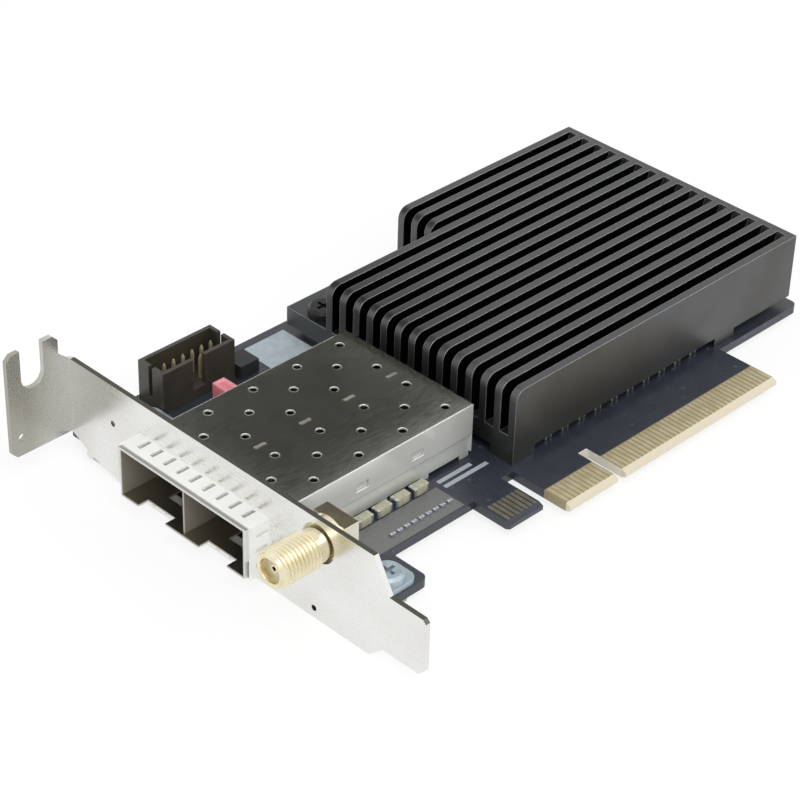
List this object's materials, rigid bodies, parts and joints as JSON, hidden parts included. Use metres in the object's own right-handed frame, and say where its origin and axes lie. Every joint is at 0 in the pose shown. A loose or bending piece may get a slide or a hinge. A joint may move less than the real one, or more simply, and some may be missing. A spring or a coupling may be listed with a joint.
{
  "type": "network adapter card",
  "caption": "Low-profile network adapter card: flat board with an edge connector, a folded bracket, a plug-in port cage, a coaxial jack and a finned heat sink.",
  "frame": {"origin": "middle of the key notch, at the bottom of the card edge, in the plane of the component face", "axes": "+X back along the card, away from the bracket; +Y up from the card edge to the free long edge; +Z out of the component face"},
  "size_m": [0.1296, 0.0811, 0.0239],
  "materials": {
    "board": "dark blue solder mask, satin",
    "gold": "plated, satin",
    "bracket_steel": "bright plated sheet",
    "cage_steel": "bright plated sheet",
    "fastener_steel": "plated",
    "sink_black": "black anodised, satin",
    "black_plastic": "moulded, satin",
    "red_plastic": "moulded, glossy",
    "white_plastic": "moulded, satin",
    "label_paper": "coated, blank",
    "chip_ceramic": "fired, matt",
    "chip_black": "moulded, matt",
    "substrate": "laminate, satin",
    "lid_metal": "nickel plated, satin",
    "pad_grey": "soft, matt"
  },
  "bodies": {
    "root": {"circuit_board": "board", "edge_contacts_upper": "gold", "edge_contacts_lower": "gold", "sideband_contacts_upper": "gold", "sideband_contacts_lower": "gold", "io_bracket": "bracket_steel", "upper_foot": "bracket_steel", "lower_foot": "bracket_steel", "foot_rivets": "fastener_steel", "foot_screws": "fastener_steel", "heatsink_screw": "fastener_steel", "board_nuts": "fastener_steel", "heatsink_back_screws": "fastener_steel", "cage_base": "cage_steel", "cage_cover": "cage_steel", "cage_divider": "cage_steel", "cage_collar": "cage_steel", "upper_port_socket": "black_plastic", "lower_port_socket": "black_plastic", "upper_port_contacts": "gold", "lower_port_contacts": "gold", "coax_barrel": "gold", "coax_insulator": "white_plastic", "coax_contact": "gold", "coax_body": "fastener_steel", "coax_pedestal": "fastener_steel", "heatsink": "sink_black", "processor_substrate": "substrate", "processor_lid": "lid_metal", "thermal_pad": "pad_grey", "flash_memory": "chip_black", "header_housing": "black_plastic", "header_pins": "gold", "jumper_base": "black_plastic", "jumper_shunt": "red_plastic", "jumper_pins": "gold", "blank_label": "label_paper", "power_inductor": "chip_black", "board_edge_capacitors": "chip_ceramic", "cage_side_capacitors": "chip_ceramic", "heatsink_side_capacitors": "chip_ceramic"}
  },
  "joints": []
}
